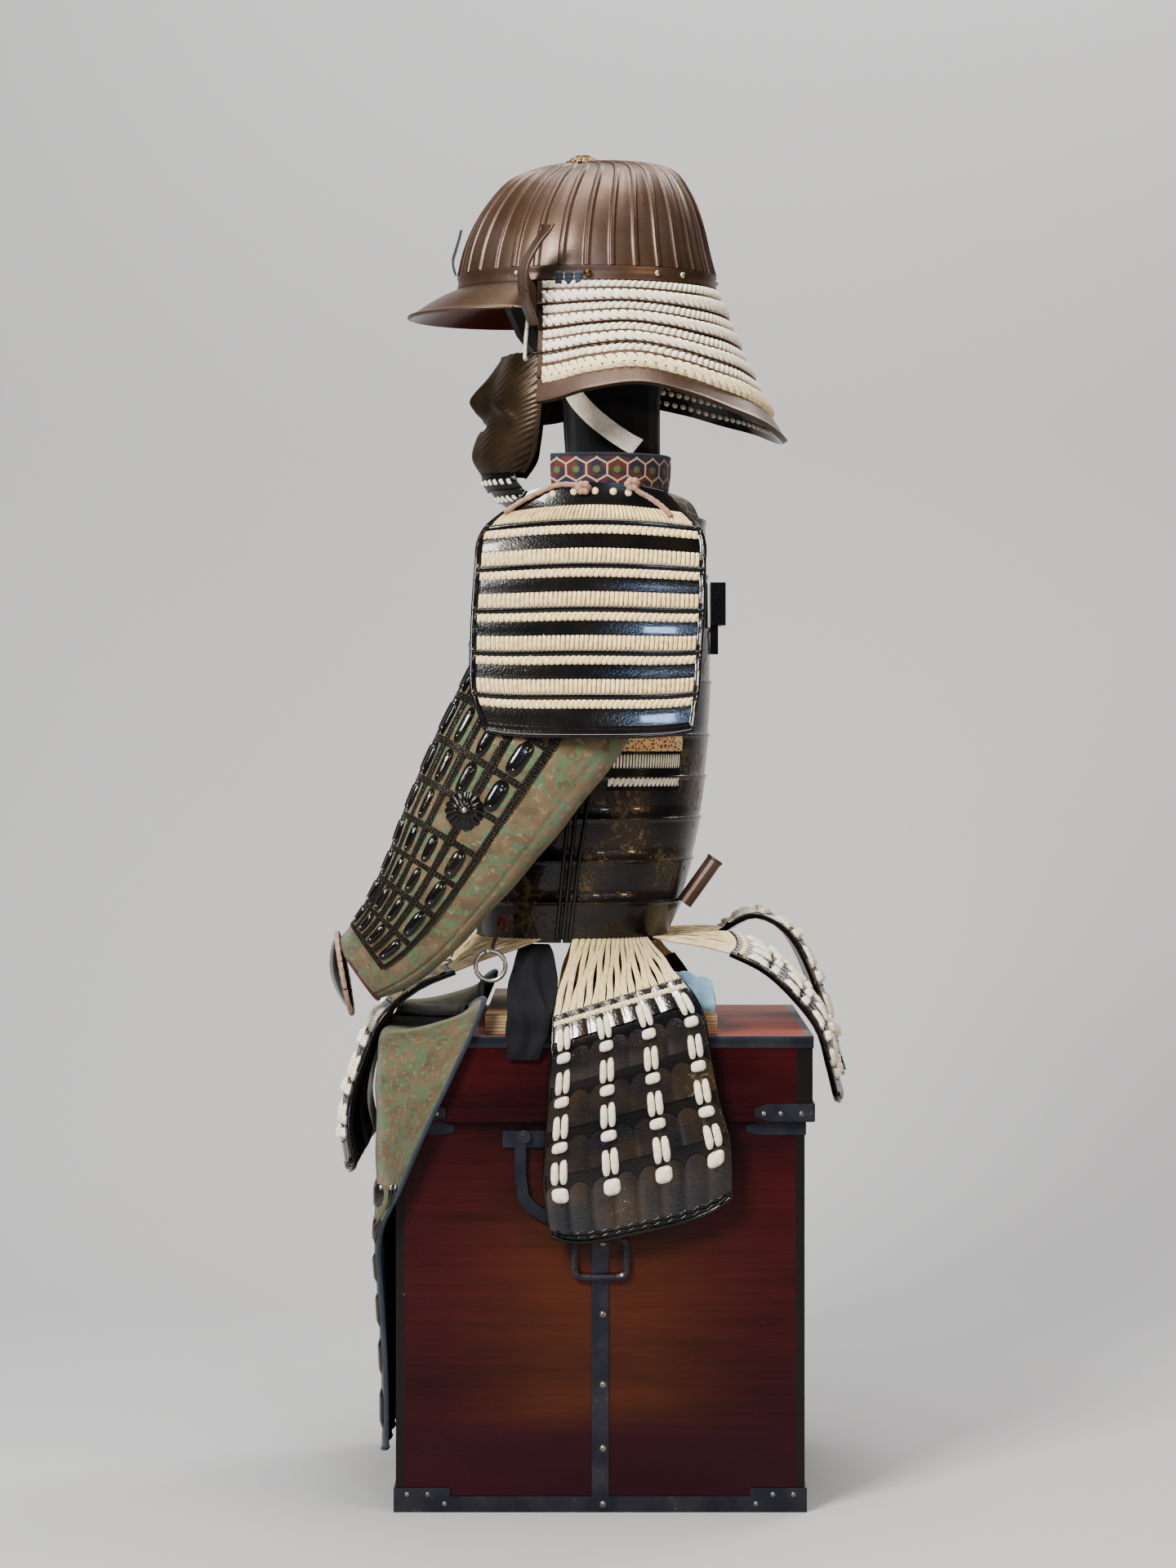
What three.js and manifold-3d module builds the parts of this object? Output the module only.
// Samurai armour seated on its storage chest, in millimetres, +Z up.
// It faces -Y and its own left side is +X. The origin is the middle of the chest's flat base.
// Every piece of the garment is a thin wall on the form it is cut or forged to.

import * as THREE from 'three';
import { mergeVertices } from 'three/addons/utils/BufferGeometryUtils.js';
import Module from 'manifold-3d';

const wasm = await Module();
wasm.setup();

// Driving dimensions
const TURN = Math.PI / 180;
const chest = { halfX: 214, halfY: 218, top: 499.6, wall: 10, floor: 12 };
const lid = { halfX: 224, halfY: 226, bottom: 417, top: 508.4, wall: 7.5, ceiling: 500, band: 13 };
const cornerPlate = { length: 63, height: 18, proud: 1.5 };
const irons = { thick: 2, bandHeight: 17, strapHalf: 9, strapTop: 296, cornerLength: 60, cornerHeight: 26 };
const loop = { pivotX: 220.5, pivotZ: 294, halfY: 28, drop: 43, wire: 3.5 };
const eye = { outer: 6.2, inner: 4, halfY: 8 };
const bail = { x: 217, thick: 4, width: 12, centreY: 3, half: 88, top: 407, bend: 359, bottom: 303 };
const bailPlate = { halfY: 23, halfZ: 9 };
const board = { x: 205, front: -123, back: 125, bottom: 508.7, top: 529 };
const CUIRASS_WALL = 2.6;
const LAME_WALL = 3;
const CLOTH = 2.4;

const colours = {
  lacquerChest: { color: 0x6b3424, roughness: 0.35, metalness: 0 },
  iron: { color: 0x1d2430, roughness: 0.45, metalness: 0.7 },
  wood: { color: 0xb98d5e, roughness: 0.6, metalness: 0 },
  standCloth: { color: 0x121216, roughness: 0.9, metalness: 0 },
  russetIron: { color: 0x4a3226, roughness: 0.38, metalness: 0.75 },
  brass: { color: 0x8a6a3a, roughness: 0.35, metalness: 0.9 },
  blackLacquer: { color: 0x0d0c0e, roughness: 0.18, metalness: 0 },
  brownLacquer: { color: 0x3a2517, roughness: 0.25, metalness: 0 },
  cream: { color: 0xc9b58f, roughness: 0.8, metalness: 0 },
  brocade: { color: 0x4b4428, roughness: 0.75, metalness: 0 },
  navy: { color: 0x12141f, roughness: 0.9, metalness: 0 },
  paleBlue: { color: 0x9fb4c4, roughness: 0.85, metalness: 0 },
  offWhite: { color: 0xd9d2bf, roughness: 0.85, metalness: 0 },
  silverIron: { color: 0xb4b2ac, roughness: 0.35, metalness: 0.9 },
};

const group = new THREE.Group();

function place(name, geometry, colour) {
  const mesh = new THREE.Mesh(geometry, new THREE.MeshStandardMaterial(colours[colour]));
  mesh.name = name;
  group.add(mesh);
}

// Number helpers
const lerp = (a, b, t) => a + (b - a) * t;
const clamp01 = (t) => Math.min(1, Math.max(0, t));
const smoothStep = (a, b, x) => {
  const t = clamp01((x - a) / (b - a));
  return t * t * (3 - 2 * t);
};
const lines = (count) => Array.from({ length: count + 1 }, (_, i) => i / count);
const ringLines = (count) => Array.from({ length: count }, (_, i) => i / count);
const power = (value, exponent) => Math.sign(value) * Math.abs(value) ** exponent;

function catmull(a, b, c, d, t) {
  const slopeB = (c - a) / 2;
  const slopeC = (d - b) / 2;
  const t2 = t * t;
  const t3 = t2 * t;
  return (2 * t3 - 3 * t2 + 1) * b + (t3 - 2 * t2 + t) * slopeB + (3 * t2 - 2 * t3) * c + (t3 - t2) * slopeC;
}

// A smooth row at place t (0 to 1) down a table whose rows are evenly spread.
function rowAt(rows, t) {
  const spot = clamp01(t) * (rows.length - 1);
  const i = Math.min(rows.length - 2, Math.floor(spot));
  const pick = (k) => rows[Math.min(rows.length - 1, Math.max(0, i + k))];
  const out = {};
  for (const name of Object.keys(rows[0])) {
    out[name] = catmull(pick(-1)[name], pick(0)[name], pick(1)[name], pick(2)[name], spot - i);
  }
  return out;
}

// The same, looked up by the value of one rising column.
function rowWhere(rows, key, value) {
  const last = rows.length - 1;
  let i = rows.findIndex((row) => row[key] > value) - 1;
  if (i === -2) {
    i = last - 1;
  }
  i = Math.max(0, i);
  const share = clamp01((value - rows[i][key]) / (rows[i + 1][key] - rows[i][key]));
  return { ...rowAt(rows, (i + share) / last), [key]: value };
}

// Geometry from points and triangles, turned so that its faces point out.
function geometryOf(points, triangles) {
  let volume = 0;
  for (const [a, b, c] of triangles) {
    volume += points[a].dot(new THREE.Vector3().crossVectors(points[b], points[c]));
  }
  const index = triangles.flatMap(([a, b, c]) => (volume < 0 ? [a, c, b] : [a, b, c]));
  const geometry = new THREE.BufferGeometry();
  const flat = new Float32Array(points.flatMap((p) => [p.x, p.y, p.z]));
  geometry.setAttribute('position', new THREE.BufferAttribute(flat, 3));
  geometry.setIndex(index);
  return geometry;
}

// Joins two rows of numbered points, which may have different counts, with triangles.
function zip(rowA, rowB, triangles) {
  const progress = (row, i) => Math.abs(row[i].at - row[0].at);
  let i = 0;
  let j = 0;
  while (i < rowA.length - 1 || j < rowB.length - 1) {
    const stepA = i < rowA.length - 1 ? progress(rowA, i + 1) : Infinity;
    const stepB = j < rowB.length - 1 ? progress(rowB, j + 1) : Infinity;
    if (stepA <= stepB) {
      triangles.push([rowA[i + 1].id, rowA[i].id, rowB[j].id]);
      i += 1;
    } else {
      triangles.push([rowA[i].id, rowB[j].id, rowB[j + 1].id]);
      j += 1;
    }
  }
}

// A wall of cloth, leather or plate. surface(u, v) is its outer form, with its back to the point behind.
// us and vs are the outer grid's lines; the inner face is plain, with its own coarser lines.
// relief(u, v) raises the outer face alone. A closed wall joins up with itself along u.
const noRelief = () => 0;

function wall(options) {
  const { surface, us, vs, thick, behind } = options;
  const { innerUs = us, innerVs = vs, relief = noRelief, closed = false } = options;
  const nudge = 1e-3;
  const wrap = (u) => (closed ? ((u % 1) + 1) % 1 : clamp01(u));
  const rawNormal = (u, v) => {
    const alongU = surface(wrap(u + nudge), v).sub(surface(wrap(u - nudge), v));
    const alongV = surface(u, clamp01(v + nudge)).sub(surface(u, clamp01(v - nudge)));
    return alongU.cross(alongV).normalize();
  };
  const middle = surface(0.5, 0.5);
  const side = rawNormal(0.5, 0.5).dot(middle.sub(new THREE.Vector3(...behind))) < 0 ? -1 : 1;
  const offset = (u, v, distance) => surface(u, v).addScaledVector(rawNormal(u, v), side * distance);
  const points = [];
  const triangles = [];
  const grid = (gridUs, gridVs, distance) => gridVs.map((v) => gridUs.map((u) => {
    points.push(offset(u, v, distance(u, v)));
    return { id: points.length - 1, u, v };
  }));
  const outer = grid(us, vs, relief);
  const inner = grid(innerUs, innerVs, () => -thick);
  const cells = (rows, turned) => {
    const columns = rows[0].length;
    for (let j = 0; j < rows.length - 1; j += 1) {
      for (let i = 0; i < (closed ? columns : columns - 1); i += 1) {
        const next = (i + 1) % columns;
        const [a, b, c, d] = [rows[j][i], rows[j][next], rows[j + 1][next], rows[j + 1][i]].map((p) => p.id);
        triangles.push(turned ? [a, c, b] : [a, b, c], turned ? [a, d, c] : [a, c, d]);
      }
    }
  };
  cells(outer, false);
  cells(inner, true);
  const alongU = (row) => {
    const ids = row.map((p) => ({ id: p.id, at: p.u }));
    return closed ? [...ids, { id: row[0].id, at: 1 }] : ids;
  };
  zip(alongU(outer[0]), alongU(inner[0]), triangles);
  zip(alongU(outer.at(-1)).reverse(), alongU(inner.at(-1)).reverse(), triangles);
  if (!closed) {
    const alongV = (rows, column) => rows.map((row) => ({ id: row.at(column).id, at: row.at(column).v }));
    zip(alongV(outer, 0).reverse(), alongV(inner, 0).reverse(), triangles);
    zip(alongV(outer, -1), alongV(inner, -1), triangles);
  }
  return geometryOf(points, triangles);
}

// Lines down a wall of lapped plates: a close pair on each lap makes its step.
const steppedLines = (plates, lap) => lines(plates).flatMap((v, i) => {
  if (i === 0 || i === plates) {
    return [v];
  }
  return [v - lap, v + lap];
});
const shareOfPlate = (v, plates) => v * plates - Math.min(plates - 1, Math.floor(v * plates));

// The same piece for the other side of the body.
function mirrored(geometry) {
  const copy = geometry.clone();
  copy.deleteAttribute('normal');
  copy.deleteAttribute('uv');
  const merged = mergeVertices(copy, 1e-5);
  const position = merged.getAttribute('position');
  const index = merged.getIndex();
  for (let i = 0; i < position.count; i += 1) {
    position.setX(i, -position.getX(i));
  }
  for (let i = 0; i < index.count; i += 3) {
    const second = index.getX(i + 1);
    index.setX(i + 1, index.getX(i + 2));
    index.setX(i + 2, second);
  }
  return merged;
}

function placePair(name, geometry, colour) {
  place(`${name}_left`, geometry, colour);
  place(`${name}_right`, mirrored(geometry), colour);
}

// Boolean joins and cuts
function solidOf(geometry) {
  const bare = geometry.clone();
  bare.deleteAttribute('normal');
  bare.deleteAttribute('uv');
  const merged = mergeVertices(bare, 1e-4);
  const vertProperties = new Float32Array(merged.getAttribute('position').array);
  const triVerts = new Uint32Array(merged.getIndex().array);
  return new wasm.Manifold(new wasm.Mesh({ numProp: 3, vertProperties, triVerts }));
}

function geometryFrom(solid) {
  const mesh = solid.getMesh();
  const geometry = new THREE.BufferGeometry();
  geometry.setAttribute('position', new THREE.BufferAttribute(new Float32Array(mesh.vertProperties), 3));
  geometry.setIndex([...mesh.triVerts]);
  return geometry;
}

const joined = (solids) => solids.reduce((whole, solid) => whole.add(solid));

function block(x0, x1, y0, y1, z0, z1) {
  const geometry = new THREE.BoxGeometry(x1 - x0, y1 - y0, z1 - z0);
  geometry.translate((x0 + x1) / 2, (y0 + y1) / 2, (z0 + z1) / 2);
  return solidOf(geometry);
}

const blockAbout = (halfX, halfY, z0, z1) => block(-halfX, halfX, -halfY, halfY, z0, z1);

function rodAlongY(radius, halfY, x, z) {
  const geometry = new THREE.CylinderGeometry(radius, radius, 2 * halfY, 12);
  geometry.translate(x, 0, z);
  return solidOf(geometry);
}

// A flat shape drawn in Y and Z, with its thickness along X from x outwards.
function slabFacingX(shape, x, thick) {
  const geometry = new THREE.ExtrudeGeometry(shape, { depth: thick, bevelEnabled: false, curveSegments: 6 });
  geometry.applyMatrix4(new THREE.Matrix4().set(0, 0, 1, x, 1, 0, 0, 0, 0, 1, 0, 0, 0, 0, 0, 1));
  return solidOf(geometry);
}

// A round bar bent into a closed ring in a YZ plane. centre(t), for t from 0 to 1, is the bar's middle.
function ringBar(centre, steps, radius, sides) {
  const across = new THREE.Vector3(1, 0, 0);
  const points = [];
  const triangles = [];
  for (let i = 0; i < steps; i += 1) {
    const ahead = centre(((i + 0.01) / steps) % 1);
    const behind = centre(((i - 0.01) / steps + 1) % 1);
    const outward = new THREE.Vector3().crossVectors(ahead.sub(behind).normalize(), across);
    for (let k = 0; k < sides; k += 1) {
      const angle = (2 * Math.PI * k) / sides;
      const spot = centre(i / steps);
      spot.addScaledVector(across, radius * Math.cos(angle));
      spot.addScaledVector(outward, radius * Math.sin(angle));
      points.push(spot);
      const [a, b] = [i * sides + k, i * sides + ((k + 1) % sides)];
      const forward = ((i + 1) % steps) * sides;
      const [c, d] = [forward + ((k + 1) % sides), forward + k];
      triangles.push([a, b, c], [a, c, d]);
    }
  }
  return geometryOf(points, triangles);
}

// Chest

function chestBody() {
  const cavity = blockAbout(chest.halfX - chest.wall, chest.halfY - chest.wall, chest.floor, chest.top + 1);
  return geometryFrom(blockAbout(chest.halfX, chest.halfY, 0, chest.top).subtract(cavity));
}

function chestLid() {
  const band = blockAbout(lid.halfX + 1, lid.halfY + 1, lid.top - lid.band, lid.top);
  const reachX = lid.halfX + cornerPlate.proud;
  const reachY = lid.halfY + cornerPlate.proud;
  const corners = [-1, 1].flatMap((sideX) => [-1, 1].map((sideY) => {
    const xs = [sideX * reachX, sideX * (reachX - cornerPlate.length)].sort((a, b) => a - b);
    const ys = [sideY * reachY, sideY * (reachY - cornerPlate.length)].sort((a, b) => a - b);
    return block(...xs, ...ys, lid.bottom, lid.bottom + cornerPlate.height);
  }));
  const outer = joined([blockAbout(lid.halfX, lid.halfY, lid.bottom, lid.top), band, ...corners]);
  const cavity = blockAbout(lid.halfX - lid.wall, lid.halfY - lid.wall, lid.bottom - 1, lid.ceiling);
  return geometryFrom(outer.subtract(cavity));
}

function chestIrons() {
  const innerX = chest.halfX + 0.3;
  const innerY = chest.halfY + 0.3;
  const outerX = innerX + irons.thick;
  const outerY = innerY + irons.thick;
  const corners = [-1, 1].flatMap((sideX) => [-1, 1].map((sideY) => {
    const xs = [sideX * outerX, sideX * (outerX - irons.cornerLength)].sort((a, b) => a - b);
    const ys = [sideY * outerY, sideY * (outerY - irons.cornerLength)].sort((a, b) => a - b);
    return block(...xs, ...ys, 0, irons.cornerHeight);
  }));
  const straps = block(-outerX, outerX, -irons.strapHalf, irons.strapHalf, 0, irons.strapTop);
  const outer = joined([blockAbout(outerX, outerY, 0, irons.bandHeight), straps, ...corners]);
  const frame = outer.subtract(blockAbout(innerX, innerY, -1, irons.strapTop + 1));
  const withEyes = [-1, 1].reduce((whole, side) => {
    const lug = rodAlongY(eye.outer, eye.halfY, side * loop.pivotX, loop.pivotZ);
    const hole = rodAlongY(eye.inner, eye.halfY + 5, side * loop.pivotX, loop.pivotZ);
    return whole.add(lug).subtract(hole);
  }, frame);
  return geometryFrom(withEyes);
}

function bailShape() {
  const shape = new THREE.Shape();
  const outer = bail.half + bail.width / 2;
  const inner = bail.half - bail.width / 2;
  const edge = (half, low) => {
    const depth = bail.bend - low;
    return Array.from({ length: 11 }, (_, k) => {
      const angle = (Math.PI * k) / 10;
      return [bail.centreY - half * power(Math.cos(angle), 0.7), bail.bend - depth * Math.sin(angle) ** 0.7];
    });
  };
  shape.moveTo(bail.centreY - outer, bail.top);
  edge(outer, bail.bottom).forEach(([y, z]) => shape.lineTo(y, z));
  shape.lineTo(bail.centreY + outer, bail.top);
  shape.lineTo(bail.centreY + inner, bail.top);
  edge(inner, bail.bottom + bail.width).reverse().forEach(([y, z]) => shape.lineTo(y, z));
  shape.lineTo(bail.centreY - inner, bail.top);
  return shape;
}

function chestBail() {
  const knuckles = [-1, 1].flatMap((side) => {
    const y = bail.centreY + side * (bail.half - 4);
    const plate = block(
      chest.halfX + 0.3, bail.x + 0.5,
      y - bailPlate.halfY, y + bailPlate.halfY, bail.top - 18, bail.top - 18 + 2 * bailPlate.halfZ,
    );
    const bolt = new THREE.CylinderGeometry(7.5, 7.5, 6, 8);
    bolt.rotateZ(Math.PI / 2);
    bolt.translate(bail.x + 3, y, bail.top - 6);
    return [plate, solidOf(bolt)];
  });
  return geometryFrom(joined([slabFacingX(bailShape(), bail.x, bail.thick), ...knuckles]));
}

// A rounded rectangle in Y and Z whose top bar runs through the eye.
function poleLoop() {
  const halfZ = loop.drop / 2;
  const centre = (t) => {
    const angle = 2 * Math.PI * t;
    const y = loop.halfY * power(Math.sin(angle), 0.35);
    const z = loop.pivotZ - halfZ + halfZ * power(Math.cos(angle), 0.35);
    return new THREE.Vector3(loop.pivotX, y, z);
  };
  return ringBar(centre, 24, loop.wire, 6);
}

place('chest_body', chestBody(), 'lacquerChest');
place('chest_lid', chestLid(), 'lacquerChest');
place('chest_irons', chestIrons(), 'iron');
placePair('chest_bail', chestBail(), 'iron');
placePair('pole_loop', poleLoop(), 'iron');

// Helmet. Each row is a level of the bowl: where it lies in front and behind, how high, and its half width.
const bowlRows = [
  { front: -158, back: 128, low: 1341.6, high: 1341.6, half: 118 },
  { front: -150, back: 122, low: 1374, high: 1364, half: 115 },
  { front: -133, back: 113, low: 1410, high: 1402, half: 104 },
  { front: -106, back: 100, low: 1443, high: 1435, half: 85 },
  { front: -78, back: 80, low: 1457, high: 1459, half: 60 },
  { front: -54, back: 36, low: 1462.5, high: 1467, half: 34 },
  { front: -32, back: -6, low: 1465, high: 1467, half: 13 },
];
const BOWL_WALL = 2.2;
const BOWL_RIBS = 32;

// A ring level: turn 0 is the front, a quarter turn is the armour's left.
function ringPoint(row, turn, spread = 0) {
  const angle = 2 * Math.PI * turn;
  const centre = (row.front + row.back) / 2;
  const halfY = (row.back - row.front) / 2 + spread;
  const rise = (1 - Math.cos(angle)) / 2;
  return new THREE.Vector3(
    (row.half + spread) * Math.sin(angle),
    centre - halfY * Math.cos(angle),
    lerp(row.low, row.high, rise),
  );
}

function helmetBowl() {
  const ribWidth = 0.14;
  const ribHeight = 2.6;
  const us = ringLines(BOWL_RIBS).flatMap((at) => (
    [at, at + ribWidth / BOWL_RIBS, at + (1 - ribWidth) / BOWL_RIBS]
  ));
  const onRib = (u) => Math.abs(u * BOWL_RIBS - Math.round(u * BOWL_RIBS)) < ribWidth / 2;
  return wall({
    surface: (u, v) => ringPoint(rowAt(bowlRows, v), u),
    us,
    vs: lines(6),
    innerUs: ringLines(20),
    innerVs: lines(4),
    thick: BOWL_WALL,
    behind: [0, -15, 1341],
    relief: (u) => (onRib(u) ? ribHeight : 0),
    closed: true,
  });
}

// The crown's ribbed ring stands on the edge of the bowl's top hole.
function helmetFinial() {
  const profile = [[8, 0], [20, 0], [21, 2.5], [16, 4], [15, 6.5], [11, 7.5], [8, 7]];
  const outline = [...profile, profile[0]].map(([r, z]) => new THREE.Vector2(r, z));
  const geometry = new THREE.LatheGeometry(outline, 14);
  geometry.rotateX(Math.PI / 2);
  geometry.translate(0, -19, 1470);
  return geometryFrom(solidOf(geometry));
}

const bandRow = { front: -159.5, back: 129.5, low: 1340.8, high: 1340.8, half: 119.5 };
const BAND_DROP = 15;

function helmetBand() {
  return wall({
    surface: (u, v) => ringPoint(bandRow, u).add(new THREE.Vector3(0, 0, -BAND_DROP * v)),
    us: ringLines(24),
    vs: [0, 1],
    thick: 3,
    behind: [0, -15, 1333],
    closed: true,
  });
}

// The peak leaves the band's lower edge over the brow and dips forward.
function helmetPeak() {
  const sweep = 62;
  return wall({
    surface: (u, v) => {
      const angle = lerp(-sweep, sweep, u) * TURN;
      const reach = 50 * Math.cos((angle * 90) / sweep) ** 0.7 + 5;
      const root = ringPoint(bandRow, angle / (2 * Math.PI));
      const outward = new THREE.Vector3(Math.sin(angle), -Math.cos(angle), 0);
      root.addScaledVector(outward, reach * v);
      root.z = 1325.2 - 30 * v ** 1.3;
      return root;
    },
    us: lines(12),
    vs: lines(3),
    innerVs: [0, 1],
    thick: 2.6,
    behind: [0, -170, 1200],
  });
}

// Neck guard: down is 0 at the band and 1 at the hem; rounds is the angle from the middle of the back.
const hemRows = [
  { height: 1155 }, { height: 1160 }, { height: 1172 }, { height: 1184 }, { height: 1199 },
  { height: 1209 }, { height: 1201 }, { height: 1190 }, { height: 1186 },
];
const GUARD_SWEEP = 112;

function guardPoint(rounds, down, spread = 0) {
  const angle = rounds * TURN;
  const hem = rowAt(hemRows, Math.abs(rounds) / 120).height;
  const behindCentre = Math.cos(angle) > 0;
  const halfX = 120 + 45 * down + spread;
  const halfY = (behindCentre ? 144 + 78 * down : 144) + spread;
  const curl = 4 * Math.sin(Math.PI * down);
  return new THREE.Vector3(
    (halfX - curl) * Math.sin(angle),
    -15 + (halfY - curl) * Math.cos(angle),
    lerp(1325.2, hem, down),
  );
}

function neckGuardLame(number) {
  const count = 5;
  const gap = 0.004;
  const top = number / count + (number ? gap : 0);
  const bottom = (number + 1) / count - gap;
  return wall({
    surface: (u, v) => guardPoint(lerp(-GUARD_SWEEP, GUARD_SWEEP, u), lerp(top, bottom, v)),
    us: lines(18),
    vs: [0, 0.3, 0.34, 1],
    innerUs: lines(12),
    innerVs: [0, 1],
    thick: LAME_WALL,
    behind: [0, -15, 1250],
    relief: (u, v) => (v > 0.32 ? 2.4 : 0.4),
  });
}

// The turn-backs are upright curved leaves at the neck guard's front ends.
const TURN_BACK_LOW = 1274;
const TURN_BACK_HIGH = 1380;
const turnBackRows = [
  { root: 124, rootY: -70, belly: -80, outer: 138 },
  { root: 124, rootY: -70, belly: -88, outer: 158 },
  { root: 124, rootY: -76, belly: -92, outer: 166 },
  { root: 126, rootY: -80, belly: -89, outer: 169 },
  { root: 142, rootY: -74, belly: -77, outer: 170 },
  { root: 160, rootY: -62, belly: -62, outer: 168 },
];

function turnBack() {
  return wall({
    surface: (u, v) => {
      const row = rowAt(turnBackRows, v);
      const z = lerp(TURN_BACK_LOW, TURN_BACK_HIGH, v);
      const lameEnd = guardPoint(GUARD_SWEEP + 1.15, clamp01((1325.2 - z) / 138));
      const grown = smoothStep(1318, 1330, z);
      const [rootX, rootY] = [lerp(lameEnd.x, row.root, grown), lerp(lameEnd.y, row.rootY, grown)];
      const forward = Math.sin((Math.PI / 2) * clamp01(u / 0.4));
      return new THREE.Vector3(lerp(rootX, row.outer, u), lerp(rootY, row.belly, forward) + 12 * u * u, z);
    },
    us: lines(5),
    vs: lines(8),
    innerVs: lines(5),
    thick: 2.4,
    behind: [145, 0, 1320],
  });
}

// A tongue that holds a crest stands in front of the brow, bent back onto the bowl at its foot.
function crestHolder() {
  const rows = [
    { y: -163.2, z: 1343, half: 9 },
    { y: -166, z: 1352, half: 9 },
    { y: -166, z: 1362, half: 8 },
    { y: -161, z: 1378, half: 7 },
    { y: -157, z: 1394, half: 5 },
  ];
  return wall({
    surface: (u, v) => {
      const row = rowAt(rows, v);
      return new THREE.Vector3(lerp(-row.half, row.half, u), row.y, row.z);
    },
    us: lines(2),
    vs: lines(6),
    thick: 2.5,
    behind: [0, 0, 1360],
  });
}

place('helmet_bowl', helmetBowl(), 'russetIron');
place('helmet_finial', helmetFinial(), 'brass');
place('helmet_band', helmetBand(), 'russetIron');
place('helmet_peak', helmetPeak(), 'russetIron');
for (let number = 0; number < 5; number += 1) {
  place(`neck_guard_${number + 1}`, neckGuardLame(number), 'brownLacquer');
}
placePair('turn_back', turnBack(), 'russetIron');
place('crest_holder', crestHolder(), 'iron');

// Face mask: a plain stylised half mask, its rows going down from the nose bridge to under the chin.
const maskRows = [
  { z: 1250, front: -106, rear: -62, half: 74, nose: 4 },
  { z: 1228, front: -116, rear: -63, half: 76, nose: 10 },
  { z: 1204, front: -124, rear: -64, half: 77, nose: 22 },
  { z: 1190, front: -125, rear: -65, half: 76, nose: 16 },
  { z: 1176, front: -127, rear: -66, half: 74, nose: 3 },
  { z: 1160, front: -133, rear: -68, half: 70, nose: 6 },
  { z: 1138, front: -138, rear: -72, half: 62, nose: 6 },
  { z: 1119, front: -130, rear: -84, half: 50, nose: 4 },
];

function maskPoint(u, v) {
  const row = rowAt(maskRows, v);
  const angle = (2 * u - 1) * 90 * TURN;
  const x = row.half * Math.sin(angle);
  const bridge = row.nose * Math.exp(-((x / 15) ** 2));
  return new THREE.Vector3(x, row.front - bridge + (row.rear - row.front) * (1 - Math.cos(angle)), row.z);
}

function faceMask() {
  const geometry = wall({
    surface: maskPoint,
    us: lines(16),
    vs: lines(10),
    innerUs: lines(8),
    innerVs: lines(6),
    thick: 2.6,
    behind: [0, -40, 1190],
  });
  const mouth = new THREE.CylinderGeometry(1, 1, 80, 12);
  mouth.scale(25, 1, 5.5);
  mouth.translate(0, -140, 1172);
  return geometryFrom(solidOf(geometry).subtract(solidOf(mouth)));
}

// Throat guard lames hang from the mask's lower edge.
function throatPoint(u, down) {
  const edge = maskPoint(lerp(0.08, 0.92, u), 1);
  const back = 6 * down + 26 * down * down;
  return new THREE.Vector3(edge.x * (1 - 0.04 * down), edge.y + back, edge.z - 0.6 - 36 * down);
}

function throatLame(top, bottom) {
  return wall({
    surface: (u, v) => throatPoint(u, lerp(top, bottom, v)),
    us: lines(12),
    vs: [0, 0.3, 0.36, 1],
    innerUs: lines(8),
    innerVs: [0, 1],
    thick: 2.6,
    behind: [0, -50, 1100],
    relief: (u, v) => (v > 0.33 ? 1.6 : 0),
  });
}

// The helmet's flat white tie runs from inside the neck guard down and back to the collar.
function chinStrap() {
  const rows = [
    { x: 66, y: -40, z: 1232 },
    { x: 60, y: -30, z: 1206 },
    { x: 62, y: -12, z: 1184 },
    { x: 65, y: 8, z: 1167 },
    { x: 68, y: 28, z: 1153 },
    { x: 70, y: 41, z: 1145.8 },
  ];
  return wall({
    surface: (u, v) => {
      const row = rowAt(rows, v);
      return new THREE.Vector3(row.x + 1.5 * (u - 0.5), row.y + 13 * (u - 0.5), row.z + 16 * (u - 0.5));
    },
    us: lines(2),
    vs: lines(8),
    thick: 1.6,
    behind: [0, 0, 1160],
  });
}

place('face_mask', faceMask(), 'russetIron');
place('throat_guard_1', throatLame(0, 0.48), 'blackLacquer');
place('throat_guard_2', throatLame(0.5, 1), 'blackLacquer');
placePair('chin_strap', chinStrap(), 'offWhite');

// Cuirass: each row is a level, with where it lies in front and behind and its half width.
const cuirassRows = [
  { z: 602, front: -137, back: 74, half: 132 },
  { z: 640, front: -140, back: 89, half: 138 },
  { z: 700, front: -144, back: 104, half: 145 },
  { z: 760, front: -147, back: 114, half: 149 },
  { z: 830, front: -148, back: 120, half: 150 },
  { z: 900, front: -147, back: 122, half: 148 },
  { z: 960, front: -142, back: 120, half: 142 },
  { z: 1020, front: -132, back: 118, half: 132 },
  { z: 1070, front: -118, back: 116, half: 120 },
];
const CUIRASS_BOTTOM = 602;
const ARMPIT = 830;
const FRONT_TOP = 1050;
const BACK_TOP = 1066;
const SQUARENESS = 2 / 2.4;
const CUIRASS_PLATES = 9;
const PLATES_BELOW_ARMPIT = 5;

// Point on the cuirass at a height and at an angle from the middle of the front, armour's left positive.
function cuirassPoint(z, degrees, inset = 0) {
  const row = rowWhere(cuirassRows, 'z', z);
  const angle = degrees * TURN;
  return new THREE.Vector3(
    (row.half - inset) * power(Math.sin(angle), SQUARENESS),
    (row.front + row.back) / 2 - ((row.back - row.front) / 2 - inset) * power(Math.cos(angle), SQUARENESS),
    z,
  );
}

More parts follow.
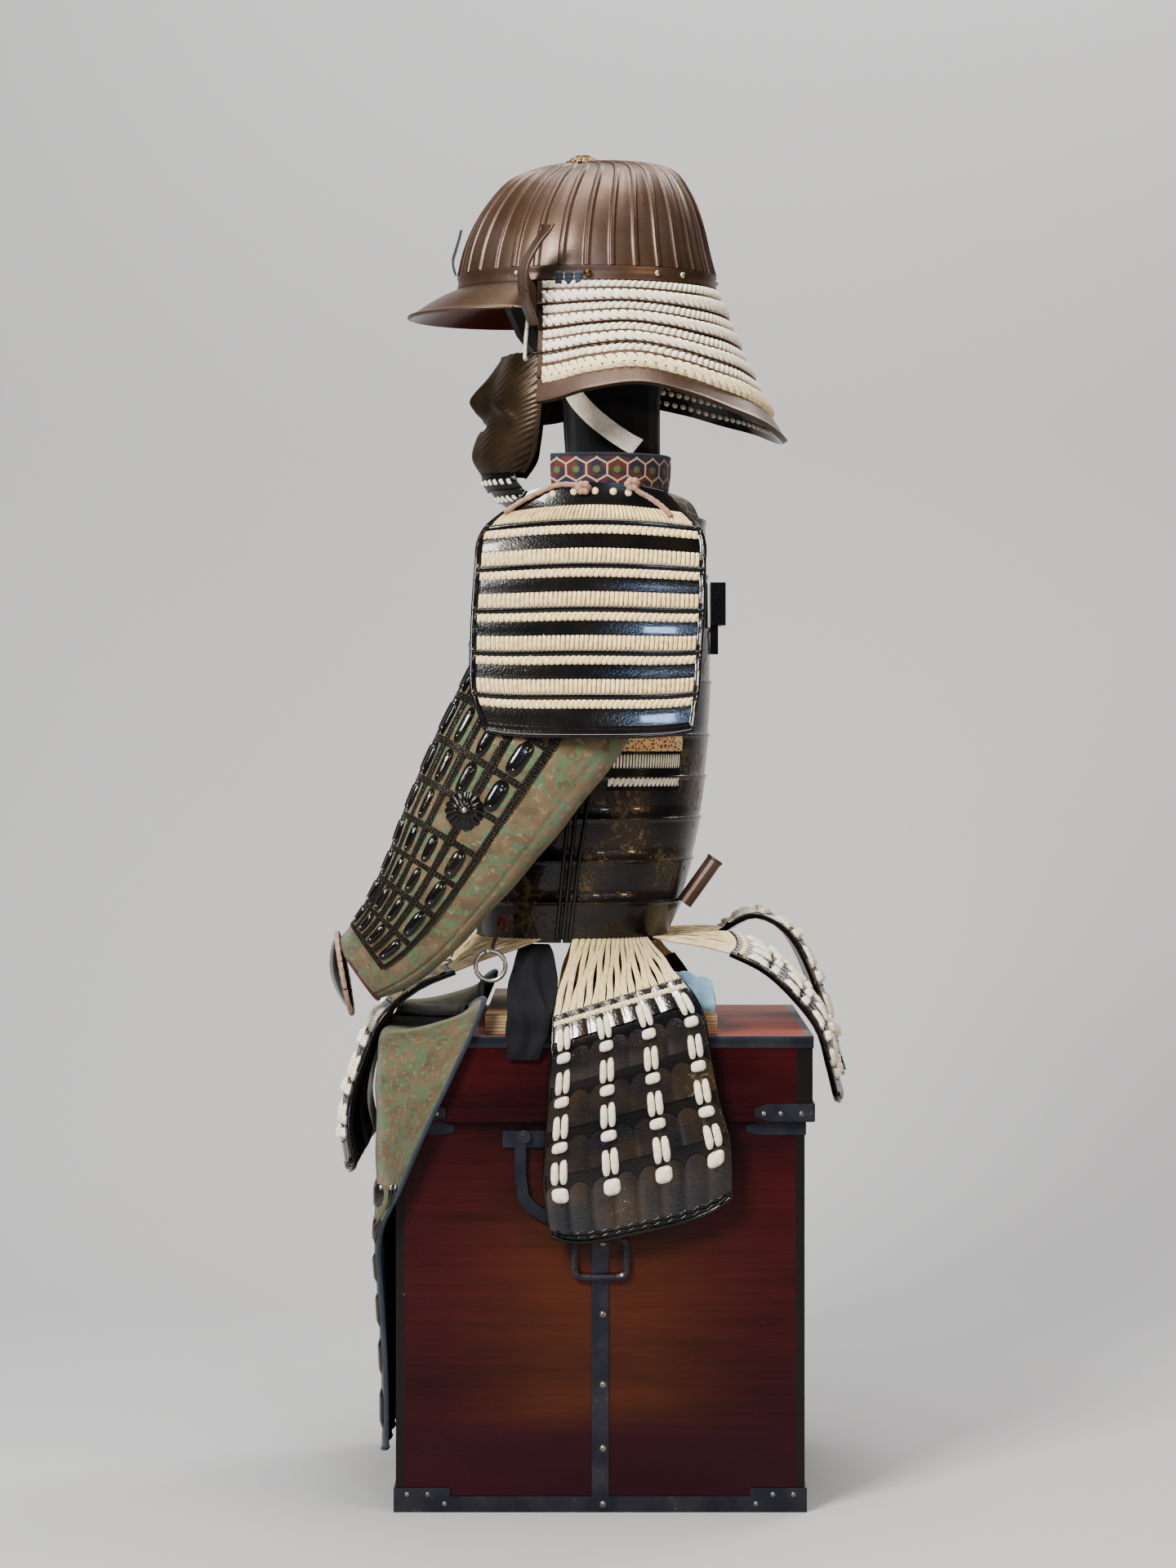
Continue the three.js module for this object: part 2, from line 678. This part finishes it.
// Where the left hinge line lies, as an angle, at a height.
function hingeAngle(z) {
  const row = rowWhere(cuirassRows, 'z', z);
  const y = lerp(-42, -28, (z - CUIRASS_BOTTOM) / (735 - CUIRASS_BOTTOM));
  const share = ((row.front + row.back) / 2 - y) / ((row.back - row.front) / 2);
  return Math.acos(power(share, 1 / SQUARENESS)) / TURN;
}

function cuirassHalf(isFront) {
  const top = isFront ? FRONT_TOP : BACK_TOP;
  const lowShare = PLATES_BELOW_ARMPIT / CUIRASS_PLATES;
  const seamAngle = 0.35;
  const degreesAt = (u, z) => {
    const split = hingeAngle(Math.min(z, ARMPIT));
    const [from, to] = isFront ? [-split, split] : [split, 360 - split];
    return lerp(from + seamAngle, to - seamAngle, u);
  };
  const topAt = (u) => {
    const x = Math.abs(cuirassPoint(ARMPIT, degreesAt(u, ARMPIT)).x);
    const neckDip = isFront ? 20 * (1 - smoothStep(20, 62, x)) : 0;
    return lerp(top - neckDip, ARMPIT + 9, smoothStep(100, 143, x));
  };
  const heightAt = (u, v) => (
    v < lowShare ? lerp(CUIRASS_BOTTOM, ARMPIT, v / lowShare)
      : lerp(ARMPIT, topAt(u), (v - lowShare) / (1 - lowShare))
  );
  const vs = steppedLines(CUIRASS_PLATES, 0.012);
  return wall({
    surface: (u, v) => {
      const z = heightAt(u, v);
      return cuirassPoint(z, degreesAt(u, z));
    },
    us: lines(16),
    vs,
    innerUs: lines(12),
    innerVs: lines(6),
    thick: CUIRASS_WALL,
    behind: [0, -15, 800],
    relief: (u, v) => 1.5 * shareOfPlate(v, CUIRASS_PLATES),
  });
}

// The pinned hinge that closes the left side stands on the plates beside the seam.
function cuirassHinge() {
  const rows = [{ z: 612 }, { z: 655 }, { z: 700 }, { z: 735 }];
  return wall({
    surface: (u, v) => {
      const z = rowAt(rows, v).z;
      const side = cuirassPoint(z, hingeAngle(z) + (u - 0.5) * 7);
      side.x += 3 + 3.2 * Math.sin(Math.PI * u) ** 0.5;
      return side;
    },
    us: lines(6),
    vs: lines(6),
    innerUs: [0, 1],
    thick: 2.2,
    behind: [0, -35, 680],
  });
}

// The back bracket is a low arched box on the back plate, for a banner pole.
function backBracket() {
  const outer = block(-26, 26, 121, 140, 950, 998);
  const slot = block(-13, 13, 126, 136, 938, 1008);
  const foot = block(-9, 9, 121, 132, 918, 950.5);
  const slope = cuirassPoint(940, 180).y + 2.2;
  const clear = block(-40, 40, 90, slope, 898, 1018);
  return geometryFrom(joined([outer.subtract(slot), foot]).subtract(clear));
}

// The waist socket is an open flat tube low on the left of the back, leaning outwards.
const socket = { length: 58, halfWide: 11, halfDeep: 9, leanY: 0.58, leanZ: 0.81 };

function waistSocket() {
  return wall({
    surface: (u, v) => {
      const angle = 2 * Math.PI * u;
      const along = lerp(-1, socket.length, v);
      const centre = new THREE.Vector3(60, 93.2, 643);
      centre.add(new THREE.Vector3(0, socket.leanY * along, socket.leanZ * along));
      const across = socket.halfWide * Math.cos(angle);
      const up = socket.halfDeep * Math.sin(angle);
      return centre.add(new THREE.Vector3(across, up * socket.leanZ, -up * socket.leanY));
    },
    us: ringLines(14),
    vs: lines(2),
    thick: 2.2,
    behind: [60, 118, 663],
    closed: true,
  });
}

// Shoulder straps arch from the back plate's top to the breast plate's top.
const STRAP_INNER = 56;
const STRAP_OUTER = 98;
const strapRows = [
  { share: 0, z: BACK_TOP + 2.2 },
  { share: 0.05, z: 1086 },
  { share: 0.2, z: 1098 },
  { share: 0.4, z: 1101 },
  { share: 0.6, z: 1099 },
  { share: 0.8, z: 1087 },
  { share: 0.95, z: 1069 },
  { share: 1, z: FRONT_TOP + 1 },
];

function plateEdgeY(x, z, isFront) {
  const row = rowWhere(cuirassRows, 'z', z);
  const reach = (1 - (x / row.half) ** (2 / SQUARENESS)) ** (SQUARENESS / 2);
  return (row.front + row.back) / 2 + (isFront ? -1 : 1) * ((row.back - row.front) / 2) * reach;
}

function shoulderStrap() {
  return wall({
    surface: (u, v) => {
      const x = lerp(STRAP_INNER, STRAP_OUTER, u);
      const row = rowAt(strapRows, v);
      const y = lerp(plateEdgeY(x, BACK_TOP, false), plateEdgeY(x, FRONT_TOP, true), row.share);
      return new THREE.Vector3(x, y, row.z);
    },
    us: lines(3),
    vs: lines(10),
    innerUs: [0, 1],
    thick: 4,
    behind: [77, 0, 1000],
  });
}

// The standing collar is a padded band round the back and sides of the neck.
function collar() {
  return wall({
    surface: (u, v) => {
      const angle = lerp(-128, 128, u) * TURN;
      const flare = 1 + 0.03 * v;
      return new THREE.Vector3(
        79 * flare * Math.sin(angle),
        -4 + 80 * flare * Math.cos(angle),
        lerp(1101.6, 1137, v),
      );
    },
    us: lines(18),
    vs: [0, 0.12, 0.88, 1],
    innerUs: lines(12),
    innerVs: [0, 1],
    thick: 3,
    behind: [0, -4, 1120],
    relief: (u, v) => (v > 0.05 && v < 0.95 ? 1.2 : 0),
  });
}

place('cuirass_front', cuirassHalf(true), 'blackLacquer');
place('cuirass_back', cuirassHalf(false), 'blackLacquer');
place('cuirass_hinge_left', cuirassHinge(), 'iron');
place('back_bracket', backBracket(), 'blackLacquer');
place('waist_socket', waistSocket(), 'brownLacquer');
placePair('shoulder_strap', shoulderStrap(), 'blackLacquer');
place('collar', collar(), 'navy');

// Sleeves: rows go down the arm from the shoulder. half is the half width seen from the side.
const sleeveRows = [
  { x: 147, y: 0, z: 1046, half: 72, deep: 32 },
  { x: 166, y: -4, z: 990, half: 84, deep: 34 },
  { x: 177, y: -22, z: 925, half: 92, deep: 34 },
  { x: 186, y: -58, z: 855, half: 92, deep: 35 },
  { x: 194, y: -104, z: 782, half: 83, deep: 35 },
  { x: 201, y: -143, z: 717, half: 72, deep: 34 },
  { x: 203, y: -177, z: 661, half: 60, deep: 31 },
  { x: 203, y: -217, z: 609, half: 49, deep: 28 },
  { x: 202, y: -259, z: 577, half: 38, deep: 25 },
];

// Point on the sleeve: round 0 is the outer side, a quarter is the front edge.
function sleevePoint(round, down, inset = 0) {
  const row = rowAt(sleeveRows, down);
  const ahead = rowAt(sleeveRows, Math.min(1, down + 0.04));
  const astern = rowAt(sleeveRows, Math.max(0, down - 0.04));
  const along = new THREE.Vector3(ahead.x - astern.x, ahead.y - astern.y, ahead.z - astern.z).normalize();
  const outward = new THREE.Vector3(1, 0, 0).addScaledVector(along, -along.x).normalize();
  const forward = new THREE.Vector3().crossVectors(outward, along).normalize();
  if (forward.y > 0) {
    forward.negate();
  }
  const angle = 2 * Math.PI * round;
  return new THREE.Vector3(row.x, row.y, row.z)
    .addScaledVector(outward, (row.deep - inset) * power(Math.cos(angle), 0.85))
    .addScaledVector(forward, (row.half - inset) * power(Math.sin(angle), 0.9));
}

// Oblong splints stand on the outer side of the sleeve in staggered rows.
const SPLINT_COLUMNS = 12;
const SPLINT_ROWS = 18;

function splintRelief(u, v) {
  const fromOuter = u > 0.5 ? u - 1 : u;
  if (Math.abs(fromOuter) > 0.22 || v < 0.28 || v > 0.96) {
    return 0;
  }
  const column = Math.round((fromOuter + 0.25) * 2 * SPLINT_COLUMNS);
  const row = Math.round(v * SPLINT_ROWS);
  return (column + 2 * Math.floor(row / 2)) % 4 < 2 && row % 2 ? 2 : 0;
}

function sleeve() {
  const outerSide = lines(SPLINT_COLUMNS).map((share) => (0.75 + share / 2) % 1);
  const bodySide = [0.32, 0.44, 0.56, 0.68];
  return wall({
    surface: (u, v) => sleevePoint(u, v),
    us: [...outerSide, ...bodySide].sort((a, b) => a - b),
    vs: lines(SPLINT_ROWS),
    innerUs: ringLines(10),
    innerVs: lines(8),
    thick: CLOTH,
    behind: [196, -95, 790],
    relief: splintRelief,
    closed: true,
  });
}

// The hand guard is a domed plate that hangs in front of the cuff from its upper edge.
function handGuard() {
  return wall({
    surface: (u, v) => {
      const s = 2 * u - 1;
      const t = 2 * v - 1;
      const across = s * Math.sqrt(1 - (t * t) / 2);
      const up = t * Math.sqrt(1 - (s * s) / 2);
      const dome = 14 * (across * across + up * up);
      return new THREE.Vector3(202 + 33 * across, -287.3 + dome - 8 * up, 574 + 43 * up);
    },
    us: lines(6),
    vs: lines(6),
    innerUs: lines(4),
    innerVs: lines(4),
    thick: 2.4,
    behind: [202, -240, 574],
  });
}

// Shoulder guards: rows go down from the top plate; out is how far the middle stands from the body's middle.
const shoulderRows = [
  { out: 179, front: -80, back: 70 },
  { out: 190, front: -126, back: 108 },
  { out: 203.4, front: -133, back: 111 },
  { out: 211.5, front: -136, back: 110 },
  { out: 219, front: -137, back: 107 },
  { out: 228, front: -136, back: 104 },
  { out: 236, front: -122, back: 98 },
];

function shoulderGuardPoint(u, v) {
  const row = rowAt(shoulderRows, v);
  const across = 2 * u - 1;
  const top = 1100 - 10 * across ** 2;
  const bottom = 826 + 6 * across ** 4;
  return new THREE.Vector3(row.out - 8 * across * across, lerp(row.front, row.back, u), lerp(top, bottom, v));
}

function shoulderGuard() {
  const plates = 6;
  const vs = steppedLines(plates, 0.012);
  return wall({
    surface: shoulderGuardPoint,
    us: lines(8),
    vs,
    innerUs: lines(4),
    innerVs: lines(4),
    thick: LAME_WALL,
    behind: [0, 0, 960],
    relief: (u, v) => 2.6 * shareOfPlate(v, plates),
  });
}

placePair('sleeve', sleeve(), 'brocade');
placePair('hand_guard', handGuard(), 'brownLacquer');
placePair('shoulder_guard', shoulderGuard(), 'blackLacquer');

// Tassets. Rows go down from the top lame. out is the distance from the middle of the chest, side is how far
// the panel's middle lies to the armour's left (or, on a side panel, to the back), half is its half width,
// and tilt is how much the panel climbs for each millimetre along it.
const frontPath = [
  { out: 166, z: 574 }, { out: 206, z: 557 }, { out: 243, z: 525 },
  { out: 262, z: 482 }, { out: 275, z: 440 }, { out: 278, z: 400 }, { out: 271, z: 358 },
];
const backLeftPath = [
  { out: 150, z: 598 }, { out: 188, z: 580 }, { out: 221, z: 550 },
  { out: 246, z: 516 }, { out: 256, z: 474 }, { out: 263, z: 434 },
];
const backRightPath = [
  { out: 142, z: 606 }, { out: 180, z: 624 }, { out: 217, z: 606 },
  { out: 243, z: 562 }, { out: 262, z: 502 }, { out: 277, z: 440 },
];
const sidePath = [
  { out: 228, z: 549, side: 18, half: 68, tilt: 0.3 },
  { out: 243, z: 514, side: 28, half: 79, tilt: 0.29 },
  { out: 243, z: 468, side: 31, half: 85, tilt: 0.27 },
  { out: 243, z: 420, side: 34, half: 91, tilt: 0.25 },
  { out: 243, z: 370, side: 39, half: 98, tilt: 0.24 },
  { out: 242, z: 302, side: 44, half: 95, tilt: 0.22 },
];

const spreadPath = (path, from, to) => path.map((row, i) => {
  const share = i / (path.length - 1);
  return {
    ...row,
    side: lerp(from.side, to.side, share),
    half: lerp(from.half, to.half, share),
    tilt: lerp(from.tilt, to.tilt, share),
  };
});

const frontSidePath = spreadPath(
  frontPath,
  { side: 104, half: 50, tilt: -0.04 },
  { side: 140, half: 60, tilt: -0.02 },
);
const frontMiddlePath = spreadPath(
  frontPath,
  { side: 0, half: 48, tilt: 0 },
  { side: 0, half: 66, tilt: 0 },
);
const backSideLeftPath = spreadPath(
  backLeftPath,
  { side: 62, half: 46, tilt: -0.2 },
  { side: 84, half: 72, tilt: -0.16 },
);
const backSideRightPath = spreadPath(
  backRightPath,
  { side: 62, half: 46, tilt: 0 },
  { side: 84, half: 72, tilt: -0.06 },
);

// facing: 0 looks to the front, 90 to the armour's left, 180 to the back. from and to are the angles on the
// cuirass between which its cords are laced. bow is how far its side edges curve in.
// seat is how far the cords stop short of the top lame.
const frontKind = { facing: 0, bow: 9, seat: 1.1 };
const sideKind = { facing: 90, bow: 0, seat: 1.8 };
const backKind = { facing: 180, bow: 8, seat: 1.1 };
const tassets = [
  { name: 'front', ...frontKind, rows: frontMiddlePath, mirror: false, from: -26, to: 26 },
  { name: 'front_left', ...frontKind, rows: frontSidePath, mirror: false, from: 29, to: 76 },
  { name: 'front_right', ...frontKind, rows: frontSidePath, mirror: true, from: 29, to: 76 },
  { name: 'side_left', ...sideKind, rows: sidePath, mirror: false, from: 90, to: 138 },
  { name: 'side_right', ...sideKind, rows: sidePath, mirror: true, from: 90, to: 138 },
  { name: 'back_left', ...backKind, rows: backSideLeftPath, mirror: false, from: 176, to: 143 },
  { name: 'back_right', ...backKind, rows: backSideRightPath, mirror: true, from: 176, to: 143 },
];
const TASSET_LAMES = 5;
const TASSET_WALL = 3.4;

function tassetPoint(tasset, u, v) {
  const row = rowAt(tasset.rows, v);
  const across = 2 * u - 1;
  const along = row.side + row.half * across;
  const out = row.out - tasset.bow * across * across;
  const corner = v > 0.7 ? 16 * across ** 4 * ((v - 0.7) / 0.3) : 0;
  const z = row.z + row.tilt * row.half * across + corner;
  if (tasset.facing === 0) {
    return new THREE.Vector3(along, -out, z);
  }
  return tasset.facing === 90 ? new THREE.Vector3(out, along, z) : new THREE.Vector3(along, out, z);
}

function tassetPanel(tasset) {
  const vs = steppedLines(TASSET_LAMES, 0.015);
  return wall({
    surface: (u, v) => tassetPoint(tasset, u, v),
    us: lines(8),
    vs,
    innerUs: lines(5),
    innerVs: lines(5),
    thick: TASSET_WALL,
    behind: [0, 0, 300],
    relief: (u, v) => 2.4 * shareOfPlate(v, TASSET_LAMES),
  });
}

// Rows of flat cords between the cuirass's lower edge and a tasset's top lame: one ridge to a cord.
const CORDS_PER_TASSET = 17;

function tassetCords(tasset) {
  return wall({
    surface: (u, v) => {
      const start = cuirassPoint(CUIRASS_BOTTOM, lerp(tasset.from, tasset.to, u), 1);
      start.z -= 1.5;
      const end = tassetPoint(tasset, u, 0);
      const inward = tassetPoint(tasset, u, 0.03).sub(end).normalize();
      end.addScaledVector(inward, -tasset.seat);
      return start.lerp(end, v);
    },
    us: lines(CORDS_PER_TASSET * 2),
    vs: [0, 1],
    innerUs: lines(6),
    thick: 1.6,
    behind: [0, 0, 300],
    relief: (u) => (Math.round(u * CORDS_PER_TASSET * 2) % 2 ? 1.2 : 0),
  });
}

for (const tasset of tassets) {
  const turned = (geometry) => (tasset.mirror ? mirrored(geometry) : geometry);
  place(`tasset_${tasset.name}`, turned(tassetPanel(tasset)), 'brownLacquer');
  place(`tasset_cords_${tasset.name}`, turned(tassetCords(tasset)), 'cream');
}

// Thigh guards drape from the lid's top over its front and round the near corner, then hang before it.
// out is how far the cloth lies outside the lid's edge; wrap is how far its near edge reaches back.
const thighRows = [
  { out: -66, z: 511.2, wrap: 20, lift: 8 },
  { out: -30, z: 511.2, wrap: 56, lift: 26 },
  { out: 3, z: 513.5, wrap: 104, lift: 34 },
  { out: 9, z: 500, wrap: 96, lift: 12 },
  { out: 12, z: 460, wrap: 74, lift: 0 },
  { out: 12, z: 410, wrap: 50, lift: 0 },
  { out: 12, z: 350, wrap: 24, lift: 0 },
  { out: 12, z: 293, wrap: -2, lift: 0 },
  { out: 8, z: 225, wrap: -16, lift: 0 },
  { out: 4, z: 145, wrap: -20, lift: 0 },
  { out: 3, z: 66, wrap: -22, lift: 0 },
];

const cornerRadius = (out) => Math.max(6, out * 1.1);

// Goes round a rounded corner between side and front: travel is 0 at the corner and grows along the front.
function roundCorner(out, travel) {
  const radius = cornerRadius(out);
  const cornerX = lid.halfX + out - radius;
  const cornerY = -(lid.halfY + out - radius);
  const quarter = (Math.PI / 2) * radius;
  if (travel < -quarter / 2) {
    return [cornerX + radius, cornerY - (travel + quarter / 2)];
  }
  if (travel > quarter / 2) {
    return [cornerX - (travel - quarter / 2), cornerY - radius];
  }
  const angle = (travel + quarter / 2) / radius;
  return [cornerX + radius * Math.cos(angle), cornerY - radius * Math.sin(angle)];
}

// Lines across the cloth: the side stretch ends at SIDE_END and the corner's bend at BEND_END.
const SIDE_END = 0.3;
const BEND_END = 0.4;

function thighGuard() {
  const middleGap = 2;
  const across = [0, 0.15, SIDE_END, 0.35, BEND_END, 0.55, 0.7, 0.85, 1];
  return wall({
    surface: (u, v) => {
      const row = rowAt(thighRows, v);
      const halfBend = (Math.PI / 4) * cornerRadius(row.out) + 1;
      const bendStart = Math.max(-halfBend, 4 - row.wrap);
      const bendEnd = Math.max(halfBend, bendStart + 4);
      const travelEnd = lid.halfX + row.out - middleGap - (1 - Math.PI / 4) * cornerRadius(row.out);
      let travel = lerp(bendEnd, travelEnd, (u - BEND_END) / (1 - BEND_END));
      if (u < SIDE_END) {
        travel = lerp(-row.wrap, bendStart, u / SIDE_END);
      } else if (u < BEND_END) {
        travel = lerp(bendStart, bendEnd, (u - SIDE_END) / (BEND_END - SIDE_END));
      }
      const [x, y] = roundCorner(row.out, travel);
      const wave = v > 0.3 ? 5 * Math.sin(5 * Math.PI * u) ** 2 * (v - 0.3) : 0;
      return new THREE.Vector3(x, y - wave, row.z + row.lift * (1 - u) ** 9);
    },
    us: across,
    vs: lines(10),
    thick: CLOTH,
    behind: [0, 0, 300],
  });
}

// A strip of cloth that slips out between the rows of cords and hangs over the lid's edge.
function looseCloth(rows) {
  return wall({
    surface: (u, v) => {
      const row = rowAt(rows, v);
      return new THREE.Vector3(row.x, lerp(row.from, row.to, u), row.z + row.arch * Math.sin(Math.PI * u));
    },
    us: lines(4),
    vs: lines(6),
    innerUs: lines(2),
    thick: 2,
    behind: [0, 0, 300],
  });
}

const navyRows = [
  { x: 116, from: -86, to: -56, z: 597, arch: 0 },
  { x: 148, from: -92, to: -50, z: 580, arch: 4 },
  { x: 190, from: -97, to: -48, z: 553, arch: 6 },
  { x: 224, from: -99, to: -52, z: 530, arch: 4 },
  { x: 227.9, from: -100, to: -56, z: 507, arch: 0 },
  { x: 227.5, from: -98, to: -66, z: 483, arch: 0 },
];
const paleRows = [
  { x: 112, from: 62, to: 92, z: 560, arch: 4 },
  { x: 150, from: 76, to: 114, z: 557, arch: 8 },
  { x: 188, from: 88, to: 122, z: 545, arch: 8 },
  { x: 203, from: 92, to: 122, z: 531.3, arch: 2 },
];

placePair('thigh_guard', thighGuard(), 'brocade');
place('navy_cloth', looseCloth(navyRows), 'navy');
place('pale_cloth', looseCloth(paleRows), 'paleBlue');

// An iron ring on a short cord hangs beside the left front tasset's cords.
const ringSize = { x: 178, y: -118, z: 580, radius: 16, wire: 2.5 };

function ironRing() {
  const centre = (t) => {
    const angle = 2 * Math.PI * t;
    const y = ringSize.y + ringSize.radius * Math.sin(angle);
    return new THREE.Vector3(ringSize.x, y, ringSize.z + ringSize.radius * Math.cos(angle));
  };
  return ringBar(centre, 18, ringSize.wire, 6);
}

const RING_CORD_RADIUS = 2.2;
const ringCordRoute = [
  [118.7, -96, 628],
  [132, -99, 630],
  [150, -106, 624],
  [165, -112, 612],
  [177, -116, 599.6],
];

function ringCord() {
  const extrudePath = new THREE.CatmullRomCurve3(ringCordRoute.map((p) => new THREE.Vector3(...p)));
  const section = new THREE.Shape();
  section.absarc(0, 0, RING_CORD_RADIUS, 0, 2 * Math.PI);
  const options = { steps: 8, extrudePath, curveSegments: 4, bevelEnabled: false };
  const geometry = new THREE.ExtrudeGeometry(section, options);
  return geometryFrom(solidOf(geometry));
}

place('ring', ironRing(), 'silverIron');
place('ring_cord', ringCord(), 'brownLacquer');

// Stand: a board, and a post with a shoulder bar, a cloth-covered neck and a plain rounded head block.
const postRows = [
  { z: 529.4, halfX: 34, halfY: 34, y: 12 },
  { z: 540, halfX: 30, halfY: 30, y: 12 },
  { z: 552, halfX: 22, halfY: 22, y: 12 },
  { z: 700, halfX: 21, halfY: 21, y: 12 },
  { z: 1030, halfX: 21, halfY: 21, y: 12 },
  { z: 1060, halfX: 34, halfY: 38, y: 12 },
  { z: 1090, halfX: 48, halfY: 51, y: 14 },
  { z: 1140, halfX: 50, halfY: 53, y: 14 },
  { z: 1200, halfX: 51, halfY: 55, y: 12 },
  { z: 1235, halfX: 64, halfY: 68, y: 4 },
  { z: 1275, halfX: 78, halfY: 88, y: -6 },
  { z: 1330, halfX: 86, halfY: 104, y: -14 },
  { z: 1385, halfX: 82, halfY: 100, y: -16 },
  { z: 1425, halfX: 64, halfY: 80, y: -16 },
  { z: 1451, halfX: 40, halfY: 52, y: -15 },
  { z: 1461.4, halfX: 15, halfY: 20, y: -16 },
];

// Half of the shoulder bar's outline, as X and Z: its ends slope down into the sleeves.
const halfBar = [
  [0, 1095.9],
  [98, 1095.9],
  [130, 1084],
  [156, 1071],
  [170.8, 1062],
  [171.6, 1050],
  [150, 1044],
  [100, 1054],
  [0, 1062],
];
const BAR_DEPTH = 26;
const BAR_BACK = 25;

function standPost() {
  const around = 16;
  const points = [];
  const triangles = [];
  postRows.forEach((row, level) => {
    for (let k = 0; k < around; k += 1) {
      const angle = (2 * Math.PI * k) / around;
      points.push(new THREE.Vector3(
        row.halfX * power(Math.cos(angle), 0.8),
        row.y + row.halfY * power(Math.sin(angle), 0.8),
        row.z,
      ));
      if (level > 0) {
        const [a, b] = [(level - 1) * around + k, (level - 1) * around + ((k + 1) % around)];
        triangles.push([a, b, b + around], [a, b + around, a + around]);
      }
    }
  });
  for (const [level, isTop] of [[0, false], [postRows.length - 1, true]]) {
    const row = postRows[level];
    points.push(new THREE.Vector3(0, row.y, row.z + (isTop ? 1.5 : 0)));
    const hub = points.length - 1;
    for (let k = 0; k < around; k += 1) {
      const [a, b] = [level * around + k, level * around + ((k + 1) % around)];
      triangles.push(isTop ? [a, b, hub] : [b, a, hub]);
    }
  }
  const bar = new THREE.Shape();
  halfBar.forEach(([x, z], i) => (i ? bar.lineTo(x, z) : bar.moveTo(x, z)));
  halfBar.slice(1, -1).reverse().forEach(([x, z]) => bar.lineTo(-x, z));
  const barGeometry = new THREE.ExtrudeGeometry(bar, { depth: BAR_DEPTH, bevelEnabled: false });
  barGeometry.rotateX(Math.PI / 2);
  barGeometry.translate(0, BAR_BACK, 0);
  return geometryFrom(solidOf(geometryOf(points, triangles)).add(solidOf(barGeometry)));
}

const boardBlock = block(-board.x, board.x, board.front, board.back, board.bottom, board.top);
place('stand_base', geometryFrom(boardBlock), 'wood');
place('stand_post', standPost(), 'standCloth');

export default group;
